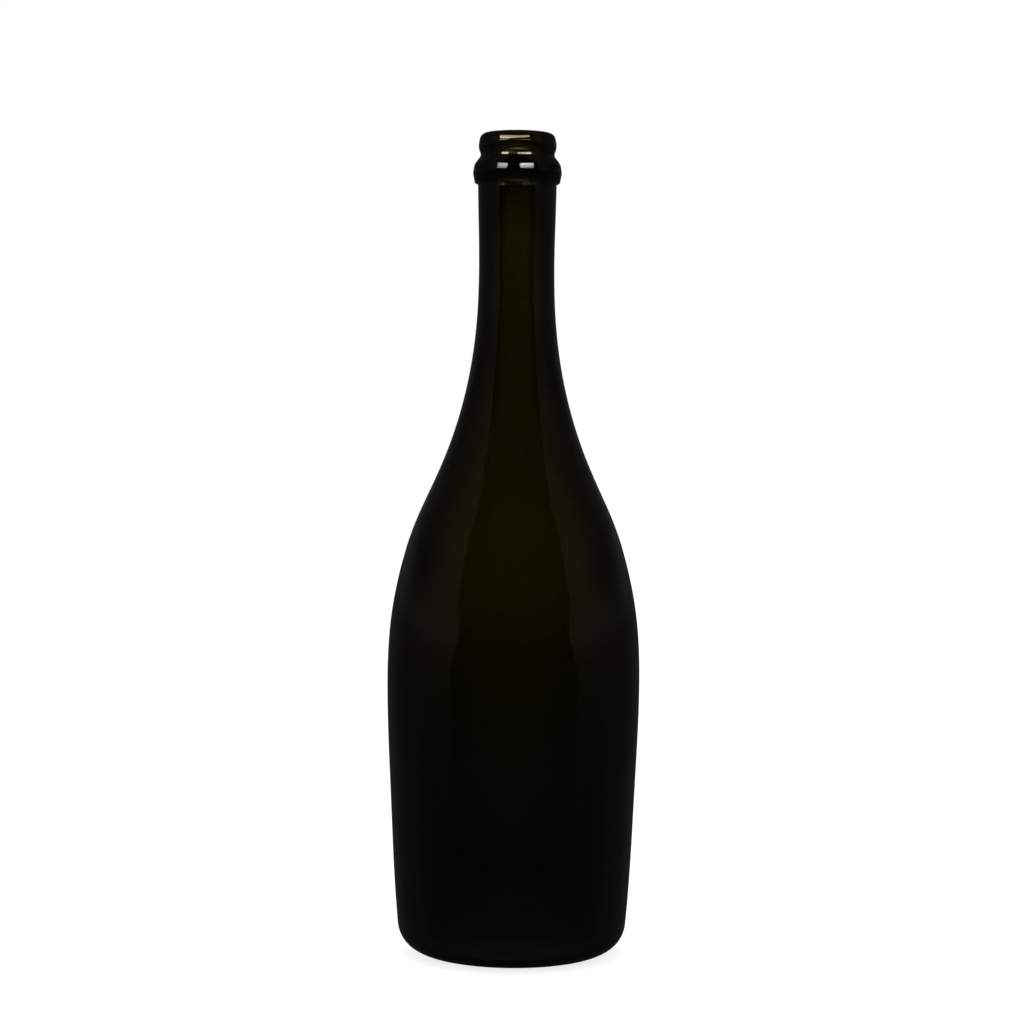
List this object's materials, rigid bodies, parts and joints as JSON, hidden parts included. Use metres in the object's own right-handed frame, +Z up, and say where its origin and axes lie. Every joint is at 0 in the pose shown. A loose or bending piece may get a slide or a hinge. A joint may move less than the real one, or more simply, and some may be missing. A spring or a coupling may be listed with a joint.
{
  "type": "sparkling wine bottle",
  "caption": "Empty open sparkling wine bottle of dark amber glass, with a bead and transfer ring at the mouth, long sloping shoulders, tapered body and push-up base.",
  "frame": {"origin": "on the bottle's axis, in the plane of the bearing ring that it stands on", "axes": "+Z up along the bottle's axis, from the base to the mouth"},
  "size_m": [0.0936, 0.0936, 0.3035],
  "materials": {
    "dark_amber_glass": "smooth moulded glass, all but black where it is thick"
  },
  "bodies": {
    "root": {"bottle": "dark_amber_glass"}
  },
  "joints": []
}
